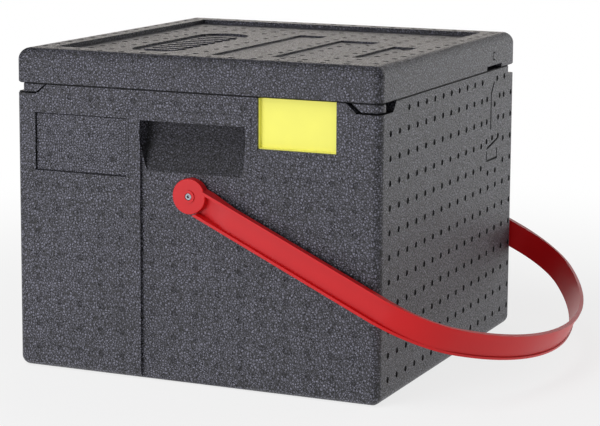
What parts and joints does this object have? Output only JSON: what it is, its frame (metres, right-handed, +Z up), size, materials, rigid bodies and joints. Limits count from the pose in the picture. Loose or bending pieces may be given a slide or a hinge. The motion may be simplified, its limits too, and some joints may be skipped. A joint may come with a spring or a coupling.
{
  "type": "insulated food carrier",
  "caption": "Square black bead-foam insulated food carrier with a lift-off lid, recessed hand grips, a yellow label plate and a red carrying strap that swings over the top.",
  "frame": {"origin": "centre of the box's base, on the surface it stands on", "axes": "+Z up, the front face with the label plate faces -Y, and the strap lies over to +X at rest"},
  "size_m": [0.5443, 0.435, 0.338],
  "materials": {
    "bead_foam": "satin",
    "red_polypropylene": "satin",
    "yellow_plastic": "matte",
    "black_nylon": "matte",
    "steel": "satin"
  },
  "bodies": {
    "box": {"carrier_body": "bead_foam", "label_plate": "yellow_plastic", "front_pivot_bush": "black_nylon", "front_pivot_disc": "red_polypropylene", "front_pivot_screw": "steel", "front_backing_plate": "black_nylon", "front_plain_washer": "steel", "front_lock_nut": "steel", "rear_pivot_bush": "black_nylon", "rear_pivot_disc": "red_polypropylene", "rear_pivot_screw": "steel", "rear_backing_plate": "black_nylon", "rear_plain_washer": "steel", "rear_lock_nut": "steel"},
    "lid": {"lid": "bead_foam"},
    "handle": {"handle_strap": "red_polypropylene"}
  },
  "joints": [
    {"name": "handle_swing", "type": "hinge", "parent": "box", "child": "handle", "pos_m": [0, 0, 0.1975], "axis": [0, -1, 0], "range_deg": [0, 230]},
    {"name": "lid_lift", "type": "slide", "parent": "box", "child": "lid", "axis": [0, 0, 1], "range_m": [0, 0.15]}
  ]
}
